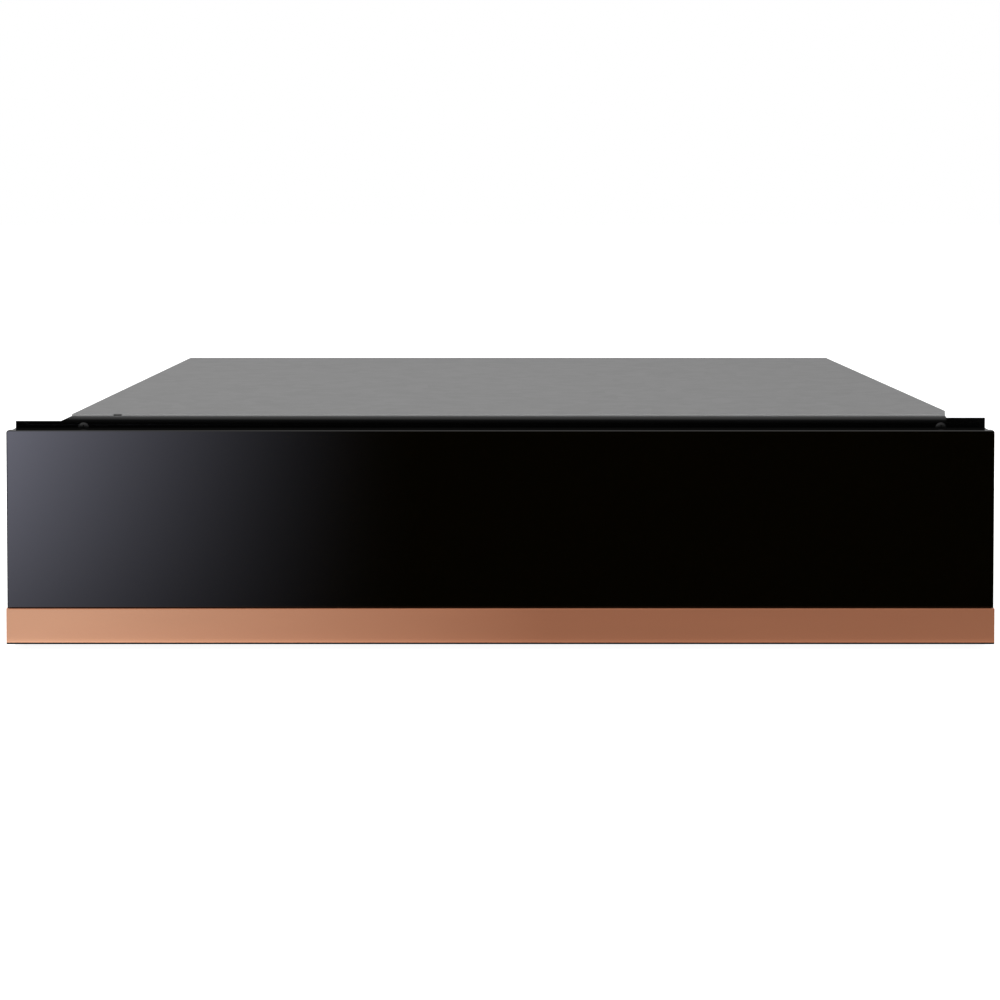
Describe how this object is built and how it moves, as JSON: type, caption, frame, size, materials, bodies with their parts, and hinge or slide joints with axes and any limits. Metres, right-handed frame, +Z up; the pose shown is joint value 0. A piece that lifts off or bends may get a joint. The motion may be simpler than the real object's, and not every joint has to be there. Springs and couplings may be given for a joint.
{
  "type": "warming drawer",
  "caption": "Built-in push-to-open warming drawer: black glass front over a copper-toned strip, grey sheet-metal housing, steel tub on ball runners with a fan heater behind it.",
  "frame": {"origin": "on the shelf that the drawer stands on, under the middle of its overall width and depth", "axes": "+X to the right as seen from the front, +Y from the front to the back, +Z up"},
  "size_m": [0.595, 0.55, 0.14],
  "materials": {
    "black_glass": "polished black-backed glass",
    "copper_trim": "satin copper-coloured anodised strip",
    "black_enamel": "satin black enamel",
    "galvanised_sheet": "matt zinc-coated sheet",
    "stainless_sheet": "brushed stainless steel",
    "runner_steel": "bright zinc-plated steel",
    "cage_steel": "plain steel strip and polished balls",
    "mat_rubber": "dotted silicone",
    "seal_rubber": "matt silicone",
    "bond_silicone": "silicone adhesive",
    "black_plastic": "fine-grained black moulding",
    "lamp_lens": "clear amber-red lens",
    "latch_plastic": "grey moulding",
    "terminal_plastic": "off-white moulding",
    "motor_steel": "varnished laminations",
    "fan_metal": "pressed aluminium",
    "element_sheath": "oxidised heater sheath",
    "capillary_copper": "drawn copper",
    "loom_sleeve": "braided sleeve",
    "mineral_wool": "pressed mineral wool",
    "screw_steel": "zinc-plated screws",
    "black_screw": "black-coated screws"
  },
  "bodies": {
    "housing": {"base_pan": "galvanised_sheet", "side_panel_left": "galvanised_sheet", "side_panel_right": "galvanised_sheet", "rear_panel": "galvanised_sheet", "top_cover": "galvanised_sheet", "front_frame": "black_enamel", "frame_seal": "seal_rubber", "cavity_side_left": "stainless_sheet", "cavity_side_right": "stainless_sheet", "cavity_ceiling": "stainless_sheet", "ceiling_insulation": "mineral_wool", "air_baffle": "stainless_sheet", "heater_box": "galvanised_sheet", "heating_element": "element_sheath", "fan_motor": "motor_steel", "safety_cutout": "black_plastic", "control_fascia": "black_plastic", "thermostat_body": "latch_plastic", "thermostat_capillary": "capillary_copper", "switch_body": "black_plastic", "pilot_lamp": "lamp_lens", "latch_bodies": "latch_plastic", "wiring_loom": "loom_sleeve", "loom_clips": "latch_plastic", "heater_leads": "loom_sleeve", "terminal_block": "terminal_plastic", "cable_gland": "black_plastic", "frame_screws": "black_screw", "rear_screws": "screw_steel", "runner_outer_left": "runner_steel", "runner_outer_right": "runner_steel"},
    "drawer": {"front_glass": "black_glass", "trim_strip": "copper_trim", "front_panel": "black_enamel", "glass_bond_pads": "bond_silicone", "front_inner_panel": "stainless_sheet", "front_buffers": "seal_rubber", "drawer_tub": "stainless_sheet", "base_mat": "mat_rubber", "latch_strikers": "runner_steel", "tub_screws": "screw_steel", "runner_inner_left": "runner_steel", "runner_inner_right": "runner_steel"},
    "runner_middles": {"runner_middle_left": "runner_steel", "runner_middle_right": "runner_steel"},
    "outer_cages": {"outer_cage_left": "cage_steel", "outer_cage_right": "cage_steel"},
    "inner_cages": {"inner_cage_left": "cage_steel", "inner_cage_right": "cage_steel"},
    "knob": {"thermostat_knob": "black_plastic", "thermostat_shaft": "runner_steel"},
    "rocker": {"switch_rocker": "black_plastic"},
    "plungers": {"latch_plungers": "latch_plastic"},
    "impeller": {"fan_impeller": "fan_metal"}
  },
  "joints": [
    {"name": "drawer_slide", "type": "slide", "parent": "housing", "child": "drawer", "axis": [0, -1, 0], "range_m": [-0.0025, 0.42]},
    {"name": "runner_middle_slide", "type": "slide", "parent": "housing", "child": "runner_middles", "axis": [0, -1, 0], "range_m": [-0.00125, 0.21]},
    {"name": "outer_cage_slide", "type": "slide", "parent": "housing", "child": "outer_cages", "axis": [0, -1, 0], "range_m": [-0.00063, 0.105]},
    {"name": "inner_cage_slide", "type": "slide", "parent": "housing", "child": "inner_cages", "axis": [0, -1, 0], "range_m": [-0.00187, 0.315]},
    {"name": "knob_turn", "type": "hinge", "parent": "housing", "child": "knob", "pos_m": [0.252, -0.245, 0.08784], "axis": [0, 1, 0], "range_deg": [0, 270]},
    {"name": "switch_rock", "type": "hinge", "parent": "housing", "child": "rocker", "pos_m": [0.252, -0.2456, 0.04], "axis": [-1, 0, 0], "range_deg": [0, 16]},
    {"name": "latch_press", "type": "slide", "parent": "housing", "child": "plungers", "axis": [0, 1, 0], "range_m": [0, 0.004], "stiffness_N_per_m": 400},
    {"name": "fan_spin", "type": "hinge", "parent": "housing", "child": "impeller", "pos_m": [0, 0.21, 0.065], "axis": [0, 1, 0], "continuous": true}
  ],
  "couplings": [
    {"joint": "runner_middle_slide", "follows": "drawer_slide", "ratio": 0.5},
    {"joint": "outer_cage_slide", "follows": "drawer_slide", "ratio": 0.25},
    {"joint": "inner_cage_slide", "follows": "drawer_slide", "ratio": 0.75}
  ]
}
